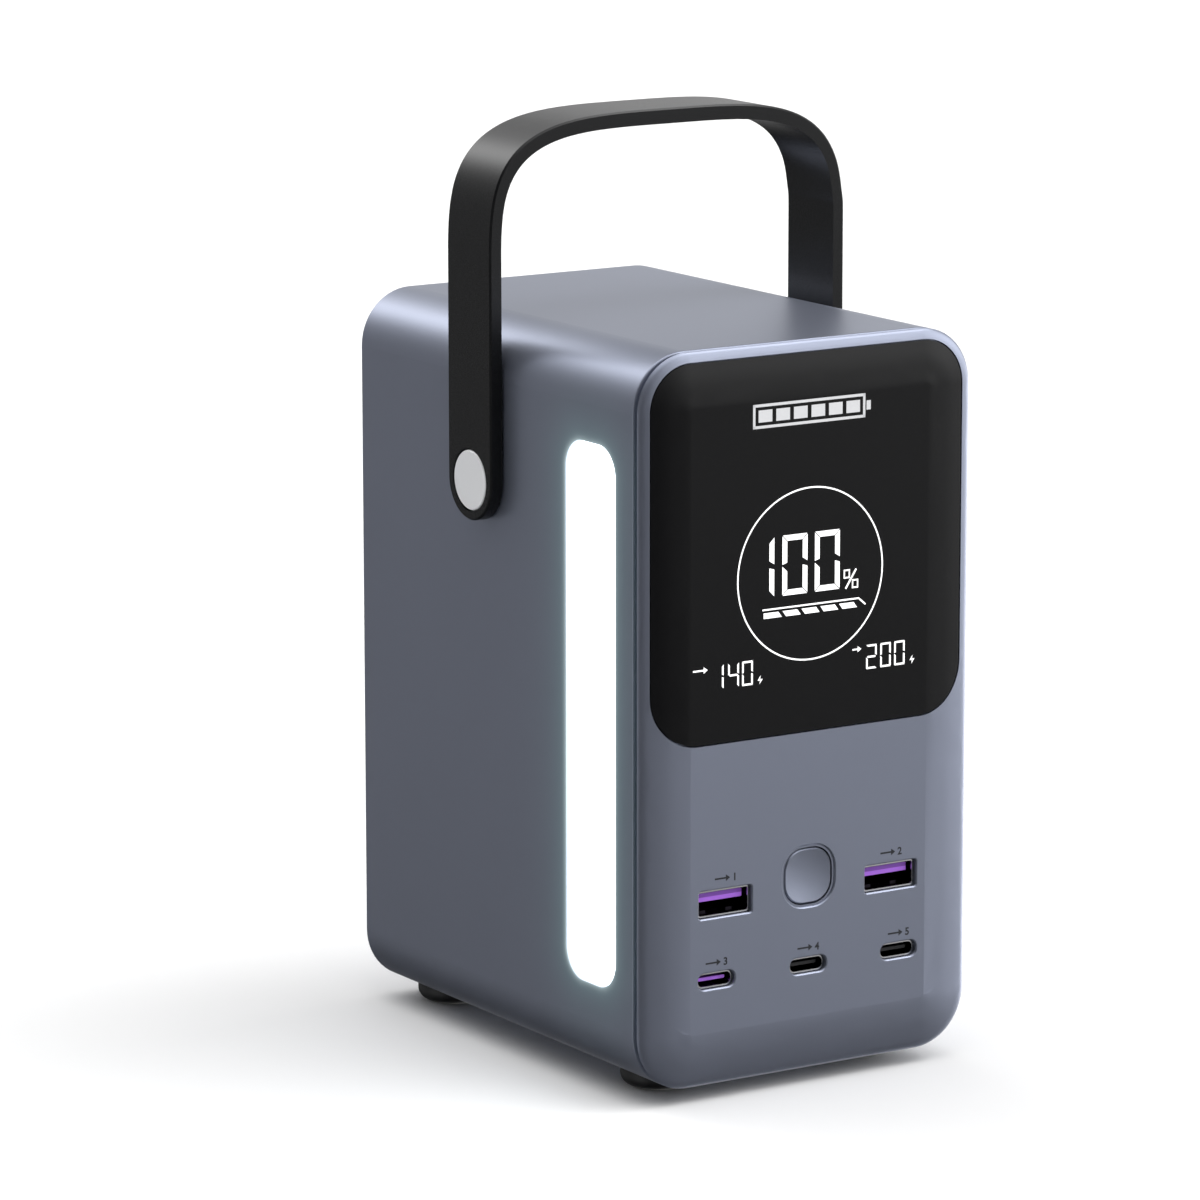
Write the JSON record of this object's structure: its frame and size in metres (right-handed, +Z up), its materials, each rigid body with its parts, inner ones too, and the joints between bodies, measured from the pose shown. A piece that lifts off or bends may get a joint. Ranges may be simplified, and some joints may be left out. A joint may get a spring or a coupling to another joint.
{
  "type": "portable power station",
  "caption": "Upright box-shaped portable power station with a fold-over carrying handle, glossy display, push button, USB sockets and a side light strip.",
  "frame": {"origin": "on the surface it stands on, under the centre of its bounding box", "axes": "+Z up; the front face with the display and sockets looks along -Y; +X is the right-hand side of that face as seen from the front"},
  "size_m": [0.0922, 0.1164, 0.2068],
  "materials": {
    "black_plastic": "moulded",
    "black_steel": "black oxide",
    "black_strap": "satin",
    "black_tape": "matt",
    "black_wire": "silicone",
    "board_white": "white solder mask",
    "brass_standoff": "turned",
    "bush_nylon": "natural",
    "button_plastic": "satin",
    "capacitor_can": "sleeved can",
    "cell_wrap": "blue heat-shrink sleeve over a metal can",
    "circuit_board": "solder mask",
    "connector_white": "moulded",
    "dark_tongue": "moulded",
    "display_glass": "polished",
    "ferrite": "pressed",
    "fibre_sheet": "fibre",
    "foam_pad": "closed-cell foam",
    "fuse_body": "glazed",
    "gold_contact": "gold flash",
    "led_package": "moulded",
    "light_face": "diffusing",
    "module_black": "matt",
    "nickel_strip": "nickel",
    "plated_shell": "nickel plated",
    "purple_tongue": "moulded",
    "raw_aluminium": "extruded",
    "red_wire": "silicone",
    "ribbon_film": "film",
    "rubber_feet": "matt",
    "satin_disc": "satin",
    "sensor_bead": "dipped",
    "slate_cover": "fine satin texture",
    "slate_panel": "fine satin texture",
    "slate_shell": "fine satin texture",
    "thermal_silicone": "soft",
    "white_wire": "silicone",
    "zinc_steel": "zinc plated"
  },
  "bodies": {
    "housing": {"balance_lead": "white_wire", "battery_cells": "cell_wrap", "battery_connector": "connector_white", "battery_lead_negative": "black_wire", "battery_lead_positive": "red_wire", "bms_board": "circuit_board", "bms_tape": "black_tape", "bms_transistors": "black_plastic", "board_link": "black_plastic", "bus_bars": "nickel_strip", "capacitors": "capacitor_can", "cell_holders": "black_plastic", "chassis_screws": "zinc_steel", "chassis_tray": "zinc_steel", "display_board": "circuit_board", "display_board_screws": "zinc_steel", "display_lens": "display_glass", "display_module": "module_black", "display_ribbon": "ribbon_film", "feet": "rubber_feet", "foam_pads": "foam_pad", "front_panel": "slate_panel", "fuse": "fuse_body", "heat_sink": "raw_aluminium", "housing_sleeve": "slate_shell", "inductors": "ferrite", "insulation_sheets": "fibre_sheet", "lens_tape": "black_tape", "light_board": "board_white", "light_diffuser": "light_face", "light_lead": "white_wire", "light_leds": "led_package", "light_tray": "connector_white", "main_board": "circuit_board", "main_board_screws": "zinc_steel", "main_board_standoffs": "brass_standoff", "pack_tie_rods": "zinc_steel", "pivot_bolts": "satin_disc", "pivot_nuts": "zinc_steel", "pivot_plates": "zinc_steel", "pivot_washers": "bush_nylon", "port_board": "circuit_board", "port_board_screws": "zinc_steel", "power_transistors": "black_plastic", "rear_cover": "slate_cover", "rear_cover_screws": "black_steel", "sensor_lead": "black_wire", "switch_body": "black_plastic", "temperature_sensor": "sensor_bead", "thermal_pad": "thermal_silicone", "usb_a_contacts": "gold_contact", "usb_a_shells": "plated_shell", "usb_a_tongues": "purple_tongue", "usb_c_shells": "plated_shell", "usb_c_tongue_in_out": "purple_tongue", "usb_c_tongues": "dark_tongue"},
    "handle": {"handle": "black_strap", "pivot_bushes": "bush_nylon"},
    "power_button": {"power_button": "button_plastic"},
    "switch_plunger": {"switch_plunger": "black_plastic"}
  },
  "joints": [
    {"name": "handle_swing", "type": "hinge", "parent": "housing", "child": "handle", "pos_m": [0, 0.00535, 0.1279], "axis": [1, 0, 0], "range_deg": [-106, 53]},
    {"name": "button_press", "type": "slide", "parent": "housing", "child": "power_button", "axis": [0, 1, 0], "range_m": [0, 0.0005], "stiffness_N_per_m": 1500, "springref_m": -0.0004},
    {"name": "plunger_press", "type": "slide", "parent": "housing", "child": "switch_plunger", "axis": [0, 1, 0], "range_m": [0, 0.0005]}
  ],
  "couplings": [
    {"joint": "plunger_press", "follows": "button_press", "ratio": 1}
  ]
}
